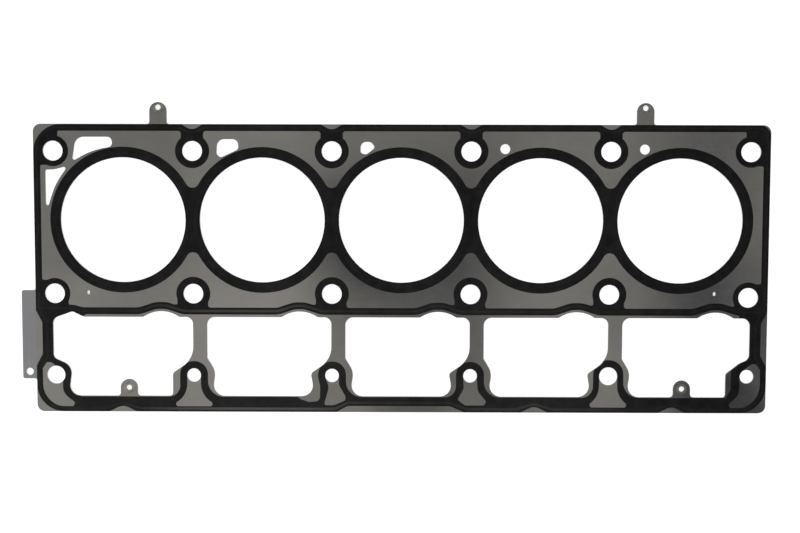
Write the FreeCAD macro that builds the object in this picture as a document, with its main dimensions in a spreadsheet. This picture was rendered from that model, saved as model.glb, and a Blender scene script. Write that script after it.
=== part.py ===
import FreeCAD, Part
import math
import os
import re

import Sketcher
from FreeCAD import Vector

# A multi-layer steel head gasket for a five-cylinder engine, lying flat. The origin is the middle of
# the four head bolts round the middle bore, on the underside. +X runs along the row of bores and +Y
# points at the two top tabs. The outlines below are drawn from the middle bore's centre.

CYLINDERS = 5
COLUMNS = CYLINDERS + 1
MIDDLE_CYLINDER = (CYLINDERS + 1) / 2
MIDDLE_COLUMN = (COLUMNS + 1) / 2
DOWEL_COLUMNS = (1, 5)

DRIVING_DIMENSIONS = [
    ("bore_pitch", 98, "from one bore centre to the next"),
    ("bore_dia", 88, "opening round the combustion chamber"),
    ("bolt_dia", 14, "head bolt holes"),
    ("top_bolt_row", 48.5, "upper row of head bolts above the bores' centres"),
    ("mid_bolt_row", 52.1, "lower row of head bolts below the bores' centres"),
    ("last_bolt_drop", 1.9, "how far the last bolt of the lower row sits below its row"),
    ("stud_dia", 9.8, "stud holes beside the pushrod windows"),
    ("stud_row", 110.2, "row of stud holes below the bores' centres"),
    ("dowel_dia", 12.9, "dowel holes in the row of studs"),
    ("end_margin", 13.7, "from the outer bolts to the end of the sheet"),
    ("top_margin", 18.8, "from the upper bolts to the top edge"),
    ("bottom_margin", 26.2, "from the studs to the bottom edge"),
    ("corner_radius", 5.3, "outer corners of the sheets"),
    ("window_row", 68.65, "top edge of the pushrod windows below the bores' centres"),
    ("window_floor", 125.2, "bottom edge of the pushrod windows below the bores' centres"),
    ("web_left", 0.4, "web between two windows, left of its bolt column"),
    ("web_right", 9.5, "web between two windows, right of its bolt column"),
    ("hump_rise", 3.9, "how far a window's top edge rises round its pushrod"),
    ("hump_width", 25.6, "width of that rise"),
    ("hump_place", 22.8, "from a rise's middle to the bolt column on its right"),
    ("tab_width", 12.1, "width of the four clinch tabs"),
    ("tab_reach", 15.3, "how far the top tabs stand out of the top edge"),
    ("tab_place", 170.75, "top tabs, from the middle bore to each side"),
    ("tab_eyelet_edge", 3.6, "from a top tab's tip to its eyelet's centre"),
    ("inner_tab_rise", 12.1, "how far the tabs in the end windows stand up"),
    ("first_tab_place", 51.8, "first inner tab, right of the first bolt column"),
    ("last_tab_place", 45.9, "last inner tab, left of the last bolt column"),
    ("mark_tab_reach", 9.9, "how far the identification tab stands out of the left end"),
    ("mark_tab_top", 49.9, "top of the identification tab below the bores' centres"),
    ("mark_tab_height", 63, "height of the identification tab"),
    ("mark_hole_dia", 5.2, "hole in the identification tab"),
    ("bead_sheet", 0.25, "thickness of the two bead layers"),
    ("core_sheet", 0.6, "thickness of the core layer"),
    ("print_film", 0.06, "thickness of the elastomer print"),
    ("bead_height", 0.25, "embossed height of the bore beads"),
    ("bead_width", 2.5, "width of a bore bead at its feet"),
    ("bead_crown", 0.9, "flat width on top of a bore bead"),
    ("bead_land", 1.4, "flat rim between a bore's edge and its bead"),
    ("lip_height", 0.12, "height of the printed sealing lip"),
    ("lip_width", 1.7, "width of the printed sealing lip"),
    ("bore_print", 7.4, "width of the print round a bore"),
    ("bore_bridge_radius", 4.8, "rounding of the print where two bore rings meet"),
    ("bolt_print", 5, "width of the print round an inner bolt hole"),
    ("end_bolt_print", 3.9, "width of the print round an outer bolt hole"),
    ("edge_print", 4.8, "width of the print along the top and end edges"),
    ("mid_print", 4.9, "width of the print between the bores and the windows"),
    ("mid_print_row", 64.4, "middle of that print below the bores' centres"),
    ("stud_print", 4.9, "width of the print round a stud hole"),
    ("bleed_width", 1.9, "width of the two steam slots"),
    ("bleed_length", 2.9, "length of the steam slots"),
    ("bleed_rise", 0.75, "middle of the steam slots above the lower row of head bolts"),
    ("stopper_sheet", 0.1, "thickness of the stopper rings"),
    ("stopper_width", 0.8, "width of the stopper rings"),
    ("eyelet_bore", 3.9, "hole through a clinch eyelet"),
    ("eyelet_wall", 0.35, "wall of an eyelet's barrel"),
    ("eyelet_flange", 7.4, "diameter of an eyelet's rolled rims"),
    ("eyelet_rim", 0.28, "thickness of an eyelet's rolled rims"),
    ("eyelet_clearance", 0.05, "gap between an eyelet's barrel and the sheets"),
]

doc = FreeCAD.newDocument("head_gasket")
sheet = doc.addObject("Spreadsheet::Sheet", "Dimensions")
for row, (alias, value, meaning) in enumerate(DRIVING_DIMENSIONS, start=1):
    sheet.set(f"A{row}", meaning)
    sheet.set(f"B{row}", str(value))
    sheet.setAlias(f"B{row}", alias)
doc.recompute()

size = {alias: float(sheet.get(alias)) for alias, value, meaning in DRIVING_DIMENSIONS}


def in_sheet(formula):
    """The same formula with each alias read from the spreadsheet."""
    return re.sub(r"[a-z][a-z_]+", lambda word: f"Dimensions.{word.group()}", formula)


def worked_out(formula):
    """What a formula of the spreadsheet's aliases comes to, in millimetres."""
    return float(sheet.evalExpression(formula))


def bind(feature, target, formula):
    feature.setExpression(target, in_sheet(formula))


# Where things stand across the sheet, in words of the spreadsheet. The middle bore's centre lies
# this far from the origin in Y
BORE_ROW = "(mid_bolt_row - top_bolt_row) / 2"


def bore_x(cylinder):
    return f"({cylinder} - {MIDDLE_CYLINDER}) * bore_pitch"


def column_x(column):
    return f"({column} - {MIDDLE_COLUMN}) * bore_pitch"


def mid_bolt_y(column):
    drop = " - last_bolt_drop" if column == COLUMNS else ""
    return f"-mid_bolt_row{drop}"


columns = {column: worked_out(column_x(column)) for column in range(1, COLUMNS + 1)}
bays = {bay: worked_out(bore_x(bay)) for bay in range(1, CYLINDERS + 1)}
first_column = columns[1]
last_column = columns[COLUMNS]

left_end = first_column - size["end_margin"]
right_end = last_column + size["end_margin"]
top_edge = size["top_bolt_row"] + size["top_margin"]
bottom_edge = -size["stud_row"] - size["bottom_margin"]
window_top = -size["window_row"]
window_floor = -size["window_floor"]

LOWER_FACE = "bead_height + print_film"
CORE_FOOT = f"{LOWER_FACE} + bead_sheet"
CORE_TOP = f"{CORE_FOOT} + core_sheet"
UPPER_FACE = f"{CORE_TOP} + bead_sheet"
MID_PLANE = f"{CORE_FOOT} + core_sheet / 2"


# Outlines: each is a list of corners (x, y, radius), rounded by arcs that run into straight sides


def rounded(corners, closed=True):
    """Line and arc geometry through the corners, with each radius cut to what its sides allow."""
    points = [Vector(x, y, 0) for x, y, radius in corners]
    last = len(points) - 1
    reach = []
    halves = []
    for index, (x, y, radius) in enumerate(corners):
        if radius == 0 or (not closed and index in (0, last)):
            halves.append(0)
            reach.append(0)
            continue
        back = points[index - 1] - points[index]
        ahead = points[(index + 1) % len(points)] - points[index]
        half = back.getAngle(ahead) / 2
        halves.append(half)
        reach.append(radius / math.tan(half))
    for index in range(len(points) if closed else last):
        following = (index + 1) % len(points)
        side = (points[following] - points[index]).Length
        wanted = reach[index] + reach[following]
        if wanted > side:
            reach[index] *= side / wanted
            reach[following] *= side / wanted

    geometry = []
    starts = []
    ends = []
    for index, point in enumerate(points):
        back = (points[index - 1] - point).normalize()
        ahead = (points[(index + 1) % len(points)] - point).normalize()
        starts.append(point + back * reach[index])
        ends.append(point + ahead * reach[index])
    for index, point in enumerate(points):
        if reach[index] > 0:
            radius = reach[index] * math.tan(halves[index])
            inward = (starts[index] + ends[index] - point * 2).normalize()
            crown = point + inward * (radius / math.sin(halves[index]) - radius)
            geometry.append(Part.Arc(starts[index], crown, ends[index]))
        if index == last and not closed:
            break
        following = starts[(index + 1) % len(points)]
        if (following - ends[index]).Length > 1e-6:
            geometry.append(Part.LineSegment(ends[index], following))
    return geometry


def beside(path, distance):
    """Corners of the line that runs to the left of an open path of corners at a distance."""
    points = [Vector(x, y, 0) for x, y, radius in path]
    headings = [(b - a).normalize() for a, b in zip(points, points[1:])]
    headings = [headings[0], *headings, headings[-1]]
    moved = []
    for point, before, after, (x, y, radius) in zip(points, headings, headings[1:], path):
        left_before = Vector(-before.y, before.x, 0)
        left_after = Vector(-after.y, after.x, 0)
        bisector = (left_before + left_after).normalize()
        shifted = point + bisector * (distance / bisector.dot(left_before))
        turn = before.cross(after).z
        new_radius = radius - distance if turn > 0 else radius + distance
        moved.append((shifted.x, shifted.y, max(new_radius, 0) if radius else 0))
    return moved


def shifted(corners, x, mirrored=False):
    """Corners given from a bolt column's line, moved to that column, or to its other side."""
    side = -1 if mirrored else 1
    return [(x + side * dx, y, radius) for dx, y, radius in corners]


def on_arc(centre_x, radius, start, end):
    """The one corner whose rounding is an arc about a bore's centre, between two angles in degrees."""
    middle = math.radians((start + end) / 2)
    half = math.radians(abs(end - start) / 2)
    reach = radius / math.cos(half)
    return (centre_x + reach * math.cos(middle), reach * math.sin(middle), radius)


def mid_line():
    """Middle of the print that runs between the bores and the windows, with a hump in every bay."""
    row = -size["mid_print_row"]
    crest = row + size["hump_rise"]
    line = [
        (first_column - 8, row + 1.8, 0),
        (first_column + 12.5, row + 1.8, 6),
        (first_column + 19.5, row, 6),
    ]
    for column in range(2, COLUMNS + 1):
        x = columns[column]
        line += [(x - 38.3, row, 14), (x - 26.5, crest, 14), (x - 19.3, crest, 14), (x - 6.9, row, 14)]
    line.append((last_column + 8, row, 0))
    return line


def window(bay):
    """One pushrod window, between the bolt columns on its two sides."""
    left = columns[bay]
    right = columns[bay + 1]
    stud = -size["stud_row"]
    floor = window_floor
    half = size["hump_width"] / 2
    middle = right - size["hump_place"]
    slope = 2 * math.atan(size["hump_rise"] / half)
    crest = window_top + half * math.tan(slope)
    hump = [(middle + half, window_top, 2), (middle, crest, half / math.sin(slope)),
            (middle - half, window_top, 2)]
    if bay == CYLINDERS:
        right_side = [(right + 1.6, window_top, 5.5), (right + 1.6, stud + 12.3, 5),
                      (right - 5, stud + 9.5, 4), (right - 14.9, stud + 1.8, 3),
                      (right - 14.9, floor, 2)]
    elif bay == 1:
        web = right - size["web_left"]
        right_side = [(web, window_top, 5), (web, stud + 11.5, 17), (right - 15, stud + 1.6, 3),
                      (right - 15, floor, 2.5)]
    else:
        web = right - size["web_left"]
        right_side = [(web, window_top, 5), (web, stud + 11.5, 17), (right - 15, stud + 1.5, 3),
                      (right - 12, floor, 8)]
    if bay == 1:
        left_side = [(left + 8.7, floor, 7.5), (left + 11.6, stud + 6.2, 8.5), (left - 1.7, stud + 12.2, 4),
                     (left - 1.7, window_top - 1.2, 5), (left + 12.2, window_top + 3.8, 3),
                     (left + 20, window_top, 5)]
    else:
        web = left + size["web_right"]
        left_side = [(left + 12.6, floor, 8), (left + 15.3, stud + 2.7, 12), (web, stud + 12.2, 2),
                     (web, window_top, 5.5)]
    tab = []
    if bay == 1:
        tab = inner_tab(left + size["first_tab_place"])
    if bay == CYLINDERS:
        tab = inner_tab(right - size["last_tab_place"])
    return right_side + tab + left_side + hump[::-1]


def inner_tab(x):
    """The tab that stands up from the floor of an end window, seen from right to left."""
    half = size["tab_width"] / 2
    tip = window_floor + size["inner_tab_rise"]
    return [(x + half, window_floor, 2.3), (x + half, tip, half), (x - half, tip, half),
            (x - half, window_floor, 2.3)]


def top_tab(x):
    """A clinch tab on the top edge, seen from left to right."""
    half = size["tab_width"] / 2
    tip = top_edge + size["tab_reach"]
    return [(x - half, top_edge, 1.5), (x - half, tip, half), (x + half, tip, half),
            (x + half, top_edge, 1.5)]


def mark_tab():
    """The identification tab at the left end, seen from bottom to top."""
    tip = left_end - size["mark_tab_reach"]
    top = -size["mark_tab_top"]
    foot = top - size["mark_tab_height"]
    return [(left_end, foot, 1.5), (tip, foot, 1.5), (tip, top, 1.5), (left_end, top, 1.5)]


def sheet_outline(marked=False):
    """Outer edge of a layer, clockwise from its bottom left corner."""
    radius = size["corner_radius"]
    return [(left_end, bottom_edge, radius)] + (mark_tab() if marked else []) + [
        (left_end, top_edge, radius),
        *top_tab(-size["tab_place"]),
        *top_tab(size["tab_place"]),
        (right_end, top_edge, radius),
        (right_end, bottom_edge, radius),
    ]


def coolant_slots():
    """The shaped coolant and oil openings between the bores and the top edge."""
    first = bays[1]
    second = bays[2]
    third = bays[3]
    rim = size["bore_dia"] / 2 + 8.5
    row = size["top_bolt_row"]
    corner = [(first - 7.3, row + 9.8, 3.4), (first - 7.3, rim - 1.1, 3), on_arc(first, rim, 101, 128),
              (first - 35.7, row - 7.9, 1.5), (first - 33, row + 9.8, 6.5)]
    side = [(first - 38.4, row - 10.5, 1.2), on_arc(first, rim, 139, 166), (first - 53, row - 40.5, 1.2),
            (first - 54.5, row - 37, 4), (first - 54.5, row - 13.2, 1.3), (first - 48.5, row - 13.2, 12)]
    bean = [(second - 31.3, row + 8.3, 5), (second - 16.6, row + 8.3, 4), (second - 16.6, row + 1.2, 2.6),
            (second - 29.3, row - 4.7, 2.2), (second - 32, row - 2, 2.5)]
    triangle = [(third - 28.5, row + 6.6, 3.8), (third - 21.5, row + 6.6, 3), (third - 18.3, row + 2.7, 1.8),
                (third - 24.8, row - 2.3, 2.2), (third - 28.8, row - 1.2, 2)]
    return [corner, side, bean, triangle]


def bleed_slots():
    """Two small steam slots, one beside each outer bolt of the lower row."""
    half = size["bleed_width"] / 2
    middle = size["bleed_rise"] - size["mid_bolt_row"]
    low = middle - size["bleed_length"] / 2
    high = middle + size["bleed_length"] / 2
    slots = []
    for x in (first_column + 23.8, last_column - 24):
        slots.append([(x - half, low, half), (x + half, low, half), (x + half, high, half),
                      (x - half, high, half)])
    return slots


def eyelet_places():
    """Centres of the four clinch eyelets, as formulas."""
    top = "top_bolt_row + top_margin + tab_reach - tab_eyelet_edge"
    low = "-window_floor + inner_tab_rise - tab_width / 2"
    return [("-tab_place", top), ("tab_place", top), (f"{column_x(1)} + first_tab_place", low),
            (f"{column_x(COLUMNS)} - last_tab_place", low)]


def round_holes():
    """Every plain round hole in the sheets: name, x, y and diameter as formulas."""
    holes = [(f"bore_{c}", bore_x(c), "0", "bore_dia") for c in range(1, CYLINDERS + 1)]
    for column in range(1, COLUMNS + 1):
        x = column_x(column)
        holes.append((f"top_bolt_{column}", x, "top_bolt_row", "bolt_dia"))
        holes.append((f"mid_bolt_{column}", x, mid_bolt_y(column), "bolt_dia"))
        diameter = "dowel_dia" if column in DOWEL_COLUMNS else "stud_dia"
        holes.append((f"stud_{column}", x, "-stud_row", diameter))
    holes.append(("coolant_4", f"{bore_x(4)} - 25.25", "top_bolt_row + 1.8", "bolt_dia / 2"))
    holes.append(("coolant_5", f"{bore_x(5)} - 25.4", "top_bolt_row + 1.7", "bolt_dia / 2"))
    return holes


def eyelet_holes():
    hole = "eyelet_bore + 2 * (eyelet_wall + eyelet_clearance)"
    return [(f"eyelet_{i}", x, y, hole) for i, (x, y) in enumerate(eyelet_places(), start=1)]


# Sketches and features


def add_sketch(body, name, plane="XY_Plane"):
    sketch = body.newObject("Sketcher::SketchObject", name)
    datum = next(f for f in body.Origin.OriginFeatures if f.Role == plane)
    sketch.AttachmentSupport = [(datum, "")]
    sketch.MapMode = "FlatFace"
    return sketch


def add_loops(sketch, loops):
    for corners in loops:
        sketch.addGeometry(rounded(corners))


def add_circles(sketch, circles):
    """Circles whose centres and diameters follow the spreadsheet."""
    formulas = []
    rules = []
    for name, x, y, diameter in circles:
        centre = Vector(worked_out(x), worked_out(y), 0)
        circle = sketch.addGeometry(Part.Circle(centre, Vector(0, 0, 1), worked_out(diameter) / 2))
        formulas += [(f"{name}_x", x), (f"{name}_y", y), (f"{name}_dia", diameter)]
        rules.append(Sketcher.Constraint("DistanceX", -1, 1, circle, 3, centre.x))
        rules.append(Sketcher.Constraint("DistanceY", -1, 1, circle, 3, centre.y))
        rules.append(Sketcher.Constraint("Diameter", circle, worked_out(diameter)))
    places = sketch.addConstraint(rules)
    for place, (name, formula) in zip(places, formulas):
        sketch.renameConstraint(place, name)
        bind(sketch, f"Constraints.{name}", formula)


def shaped_openings():
    """Every opening that isn't a plain round hole."""
    return [window(bay) for bay in range(1, CYLINDERS + 1)] + coolant_slots() + bleed_slots()


def new_body(name, height):
    """A body whose own zero level stands at a height of the stack."""
    body = doc.addObject("PartDesign::Body", name)
    body.Label = name
    bind(body, "Placement.Base.y", BORE_ROW)
    bind(body, "Placement.Base.z", height)
    return body


def add_pad(body, name, sketch, length):
    pad = body.newObject("PartDesign::Pad", name)
    pad.Profile = sketch
    pad.Refine = False
    bind(pad, "Length", length)
    body.Tip = pad
    return pad


def add_cut(body, name, sketch, refine=False):
    """Cuts a sketch out of all that lies above it, and may join the flat faces that meet."""
    cut = body.newObject("PartDesign::Pocket", name)
    cut.Profile = sketch
    cut.Type = "ThroughAll"
    cut.Reversed = True
    cut.Refine = refine
    body.Tip = cut
    return cut


def punch(body, circles, refine=False):
    """Punches round holes through the whole body."""
    holes = add_sketch(body, "holes")
    add_circles(holes, circles)
    return add_cut(body, "punched_holes", holes, refine)


def along_bores(body, name, feature):
    """The same feature again at each of the other bores."""
    pattern = body.newObject("PartDesign::LinearPattern", name)
    pattern.Originals = [feature]
    axis = next(f for f in body.Origin.OriginFeatures if f.Role == "X_Axis")
    pattern.Direction = (axis, [""])
    pattern.Occurrences = CYLINDERS
    bind(pattern, "Length", f"{CYLINDERS - 1} * bore_pitch")
    pattern.Refine = False
    body.Tip = pattern
    return pattern


def bead_sketch(body, name, base):
    """Trapezoid section of the bead of the first bore, with its feet at a height of the body."""
    sketch = add_sketch(body, name, "XZ_Plane")
    bind(sketch, "AttachmentOffset.Base.x", bore_x(1))
    level = worked_out(base)
    middle = (size["bore_dia"] + size["bead_width"]) / 2 + size["bead_land"]
    foot = size["bead_width"] / 2
    crown = size["bead_crown"] / 2
    top = level + size["bead_height"]
    add_loops(sketch, [[(middle - foot, level, 0), (middle + foot, level, 0), (middle + crown, top, 0),
                        (middle - crown, top, 0)]])
    return sketch


def add_bore_beads(body, kind, name, base):
    """A ring of the bead's section round each bore: Revolution adds it and Groove takes it away."""
    sketch = bead_sketch(body, f"{name}_section", base)
    ring = body.newObject(f"PartDesign::{kind}", name)
    ring.Profile = sketch
    ring.ReferenceAxis = (sketch, ["V_Axis"])
    ring.Angle = 360
    ring.Refine = False
    body.Tip = ring
    return along_bores(body, f"{name}_row", ring)


# The three steel layers


def bead_layer(name):
    """Spring steel sheet with a hollow bead pressed up round each bore."""
    body = new_body(name, CORE_TOP)
    blank = add_sketch(body, "blank")
    add_loops(blank, [sheet_outline(), *shaped_openings()])
    add_pad(body, "sheet", blank, "bead_sheet")
    punch(body, round_holes() + eyelet_holes())
    add_bore_beads(body, "Revolution", "bead", "bead_sheet")
    add_bore_beads(body, "Groove", "hollow", "0")
    return body


def core_layer(name):
    """Plain core sheet with the identification tab."""
    body = new_body(name, CORE_FOOT)
    blank = add_sketch(body, "blank")
    add_loops(blank, [sheet_outline(marked=True), *shaped_openings()])
    add_pad(body, "sheet", blank, "core_sheet")
    mark_x = f"{column_x(1)} - end_margin - mark_tab_reach / 2"
    mark = ("mark_hole", mark_x, "-mark_tab_top - mark_tab_height + 5", "mark_hole_dia")
    punch(body, [*round_holes(), *eyelet_holes(), mark])
    return body


def stopper_ring(cylinder):
    """Thin ring on the core, inside the hollow of a bore's bead."""
    body = new_body(f"stopper_ring_{cylinder}", CORE_TOP)
    sketch = add_sketch(body, "ring")
    middle = "bore_dia + 2 * bead_land + bead_width"
    add_circles(sketch, [("outer", bore_x(cylinder), "0", f"{middle} + stopper_width"),
                         ("inner", bore_x(cylinder), "0", f"{middle} - stopper_width")])
    add_pad(body, "washer", sketch, "stopper_sheet")
    return body


# The printed seals


def bore_bridge(column):
    """Print that fills the neck between two bore rings, rounded off above and below."""
    x = columns[column]
    ring = size["bore_dia"] / 2 + size["bore_print"]
    radius = size["bore_bridge_radius"]
    half_pitch = size["bore_pitch"] / 2
    reach = ring + radius
    height = math.sqrt(reach ** 2 - half_pitch ** 2)
    touch_x = half_pitch * (1 - ring / reach)
    touch_y = height * ring / reach
    tip = height - radius * reach / height
    return [(x - touch_x, touch_y, 0), (x, tip, radius), (x + touch_x, touch_y, 0),
            (x + touch_x, -touch_y, 0), (x, -tip, radius), (x - touch_x, -touch_y, 0)]


def bore_seal(name):
    """Print round the bores, one joined chain of rings that follows the beads."""
    body = new_body(name, UPPER_FACE)
    disc = add_sketch(body, "disc")
    add_circles(disc, [("disc", bore_x(1), "0", "bore_dia + 2 * bore_print")])
    first = add_pad(body, "ring", disc, "print_film")
    along_bores(body, "ring_row", first)
    bridges = add_sketch(body, "bridges")
    add_loops(bridges, [bore_bridge(column) for column in range(2, COLUMNS)])
    add_pad(body, "bridge_fill", bridges, "print_film")
    add_bore_beads(body, "Revolution", "bead", "print_film")
    add_bore_beads(body, "Groove", "bead_back", "0")
    punch(body, [hole for hole in round_holes() if hole[0].startswith("bore_")], refine=True)
    return body


def upper_field():
    """Bare steel round the chain of bores, down to the print above the windows."""
    left = left_end + size["edge_print"]
    right = right_end - size["edge_print"]
    top = top_edge - size["edge_print"]
    edge = beside(mid_line(), size["mid_print"] / 2)
    return [(left, edge[0][1], 0), *edge, (right, edge[-1][1], 0), (right, top, 0), (left, top, 0)]


def lower_field():
    """Bare steel below that print: the strip above the windows and the webs between them."""
    edge = beside(mid_line(), -size["mid_print"] / 2)[2:-1]
    row = -size["stud_row"]
    floor = window_floor - 0.4
    start = first_column + 17
    stop = last_column - 6
    strip = last_column - 11.1
    right_side = [(stop, edge[-1][1], 0), (stop, row + 12, 0), (strip, row + 4.5, 0), (strip, row - 9.5, 7),
                  (strip - 3.4, floor, 0)]
    return [(start, floor, 0), (start, window_top - 0.6, 0), (start + 5, edge[0][1], 2), *edge[1:-1],
            *right_side]


def top_neck(column):
    """Print that joins an inner bolt's ring to the print along the top edge."""
    band = top_edge - size["edge_print"]
    row = size["top_bolt_row"]
    return shifted([(-11, band + 1, 0), (-11, band, 0), (-7.8, band, 2), (-7.8, row, 0), (7.8, row, 0),
                    (7.8, band, 2), (11, band, 0), (11, band + 1, 0)], columns[column])


def mid_neck(column):
    """Print that joins an inner bolt's ring to the print above the windows."""
    band = -size["mid_print_row"] + size["mid_print"] / 2
    row = -size["mid_bolt_row"]
    return shifted([(-11.3, row, 0), (-11.3, band + 2.3, 1), (-14.2, band + 2.1, 0), (-12, band - 1, 0),
                    (14, band - 1, 0), (14, band, 0), (10.4, band, 1.8), (10.4, row - 4, 0), (11.3, row, 0)],
                   columns[column])


def end_necks(column):
    """Print between an outer bolt's two rings and the corner of the sheet."""
    mirrored = column == COLUMNS
    x = columns[column]
    band_x = size["edge_print"] - size["end_margin"]
    band_top = top_edge - size["edge_print"]
    band_mid = -size["mid_print_row"] + size["mid_print"] / 2
    row = size["top_bolt_row"]
    low = worked_out(mid_bolt_y(column))
    upper = [(band_x - 1, band_top + 1, 0), (6, band_top + 1, 0), (6, band_top, 0), (3.5, band_top, 1.1),
             (3.5, row, 0), (0, row, 0), (0, row - 9.9, 0), (band_x, row - 9.9, 1.2),
             (band_x, row - 12.5, 0), (band_x - 1, row - 12.5, 0)]
    lower = [(band_x - 1, band_mid - 1, 0), (band_x - 1, low + 12, 0), (band_x, low + 12, 0),
             (band_x, low + 9.6, 1.2), (0, low + 9.6, 0), (0, low, 0), (9.6, low, 0),
             (9.6, band_mid + 1.9, 1.3), (13, band_mid + 1.3, 0), (13, band_mid - 1, 0)]
    return [shifted(upper, x, mirrored), shifted(lower, x, mirrored)]


def stud_band(column):
    """Print that runs up one side of a stud hole and down the other, from the bottom band."""
    row = -size["stud_row"]
    floor = window_floor - 0.4
    hole = size["dowel_dia"] if column in DOWEL_COLUMNS else size["stud_dia"]
    half = min(hole / 2 + size["stud_print"], 10.6)
    top = row + hole / 2 + size["stud_print"] + 0.2
    return shifted([(-22, floor - 1, 0), (-22, floor, 0), (-half - 0.2, floor, 8), (-half, top, half - 0.4),
                    (half, top, half - 0.4), (half + 0.2, floor, 11), (22, floor, 0), (22, floor - 1, 0)],
                   columns[column])


def stud_field(column):
    """Bare steel under a stud hole, spread out like a bell."""
    row = -size["stud_row"]
    half = (size["dowel_dia"] if column in DOWEL_COLUMNS else size["stud_dia"]) / 2
    if column == 3:
        bell = [(-half, row - 0.8, 0), (-2.2, row - 8.3, 8), (-5.8, row - 21.3, 1.4), (1.5, row - 21.3, 7),
                (9.5, row - 17.8, 1.4), (9.5, row - 14.7, 1.6), (half, row - 6.8, 6), (half, row - 0.8, 0)]
    elif column == 4:
        bell = [(-half, row - 0.8, 0), (-4.4, row - 9.3, 6), (-8.9, row - 17, 1.4), (-3.6, row - 21.2, 4),
                (10, row - 21.2, 1.4), (11.6, row - 18.4, 1.2), (5.4, row - 10.8, 8), (half, row - 0.8, 0)]
    else:
        bell = [(-half, row - 0.8, 0), (-half, row - 13.8, 15), (-13.2, row - 20, 1.4),
                (-12.4, row - 22.4, 1.2), (12.4, row - 22.4, 1.2), (13.2, row - 20, 1.4),
                (half, row - 13.8, 15), (half, row - 0.8, 0)]
    return shifted(bell, columns[column])


def corner_patch(x, y, radius, side_x, side_y):
    """Bare steel outside the print's own rounded corner."""
    out = 2
    return [(x + side_x * out, y + side_y * out, 0), (x + side_x * out, y - side_y * radius, 0),
            (x, y - side_y * radius, 0), (x, y, radius), (x - side_x * radius, y, 0),
            (x - side_x * radius, y + side_y * out, 0)]


# The notches of bare steel in the bottom edge: the bay and the middle, right of the bore's centre
EDGE_NOTCHES = ((5, -3.8), (4, -3.5), (1, -1.7))


def edge_patches():
    """Bare steel along the outside edges, beyond the print."""
    row = -size["stud_row"]
    low = -19.2
    margin = size["end_margin"]
    patches = [
        corner_patch(left_end, top_edge, 20, -1, 1),
        corner_patch(right_end, top_edge, 8.2, 1, 1),
        corner_patch(left_end, bottom_edge, -low, -1, -1),
        corner_patch(right_end, bottom_edge, -low, 1, -1),
    ]
    side = [(-margin - 1, row + 48, 0), (-9.3, row + 37.5, 4), (-9.3, row + 15, 4),
            (-margin - 1, row + 4.7, 0)]
    for x, mirrored, rim, tip in ((first_column, False, 4.7, 13.4), (last_column, True, 5, 12.7)):
        foot = [(-9.5, row + 9, 3.2), (-3.6, row + 9, 1.2), (rim - 2.7, row + 5, 0), (rim, row, 0),
                (rim, row - 13, 9), (tip, row - 20, 1.6), (tip - 1.9, row - 23, 1.4), (-9.5, row - 23, 16.6)]
        patches.append(shifted(side, x, mirrored))
        patches.append(shifted(foot, x, mirrored))
    for column in range(2, COLUMNS):
        patches.append(shifted([(-11, top_edge + 1, 0), (-7.6, top_edge, 2), (0, top_edge - 4.6, 7),
                                (7.6, top_edge, 2), (11, top_edge + 1, 0)], columns[column]))
    for bay, place in EDGE_NOTCHES:
        x = bays[bay] + place
        patches.append([(x - 12.5, bottom_edge - 1, 0), (x - 9.6, bottom_edge, 3),
                        (x, bottom_edge + 4.9, 8.3), (x + 9.8, bottom_edge, 3),
                        (x + 12.7, bottom_edge - 1, 0)])
    inner = size["bore_pitch"] / 2
    crest = bottom_edge + 4.4
    patches.append([(-inner - 1, bottom_edge - 1, 0), (3 - inner, bottom_edge, 5), (11 - inner, crest, 5),
                    (inner - 14, crest, 5), (inner - 4, bottom_edge, 5), (inner, bottom_edge - 1, 0)])
    patches.append(shifted([(-26, row - 14, 0), (-22.5, row - 17, 4), (-16.5, row - 19, 4),
                            (-8.6, row - 18.4, 3.5), (-8.4, row - 7.5, 8), (-9.9, row - 1, 0),
                            (-12, row - 1, 0)], columns[3]))
    return patches


def edge_lip_path():
    """Middle of the sealing lip round the whole sheet, clockwise from its top left corner."""
    band = size["edge_print"] / 2
    row = -size["stud_row"]
    low = bottom_edge + 1.6
    narrow = 2.1
    inset = 5.5
    right_side = [(right_end - band, row + 47, 3), (last_column + inset, row + 38, 3),
                  (last_column + inset, row + 13, 3), (right_end - narrow, row + 4, 3)]
    left_side = [(left_end + narrow, row + 4, 3), (first_column - inset, row + 13, 3),
                 (first_column - inset, row + 38, 3), (left_end + band, row + 47, 3)]
    humps = [[(x + 13, low, 6), (x, bottom_edge + 6.2, 7), (x - 13, low, 6)]
             for x in (bays[bay] + place for bay, place in EDGE_NOTCHES)]
    inner = size["bore_pitch"] / 2
    crest = low + 4.8
    middle = [(inner - 3, low, 5), (inner - 14, crest, 5), (11 - inner, crest, 5), (2.2 - inner, low, 5)]
    high = top_edge - band
    dips = []
    for column in range(2, COLUMNS):
        dips += shifted([(-9.5, high, 5), (-3, high - 3, 5), (3, high - 3, 5), (9.5, high, 5)],
                        columns[column])
    return [(left_end + band, high, 15.1), *dips, (right_end - band, high, 5.8), *right_side,
            (right_end - narrow, low, 17.4), *humps[0], *humps[1], *middle, *humps[2],
            (left_end + narrow, low, 17.4), *left_side]


def mid_lip_path():
    """Middle of the sealing lip between the bores and the windows, from edge lip to edge lip."""
    band = size["edge_print"] / 2
    line = mid_line()
    return [(left_end + band, line[0][1], 0), *line[1:-1], (right_end - band, line[-1][1], 0)]


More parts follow.
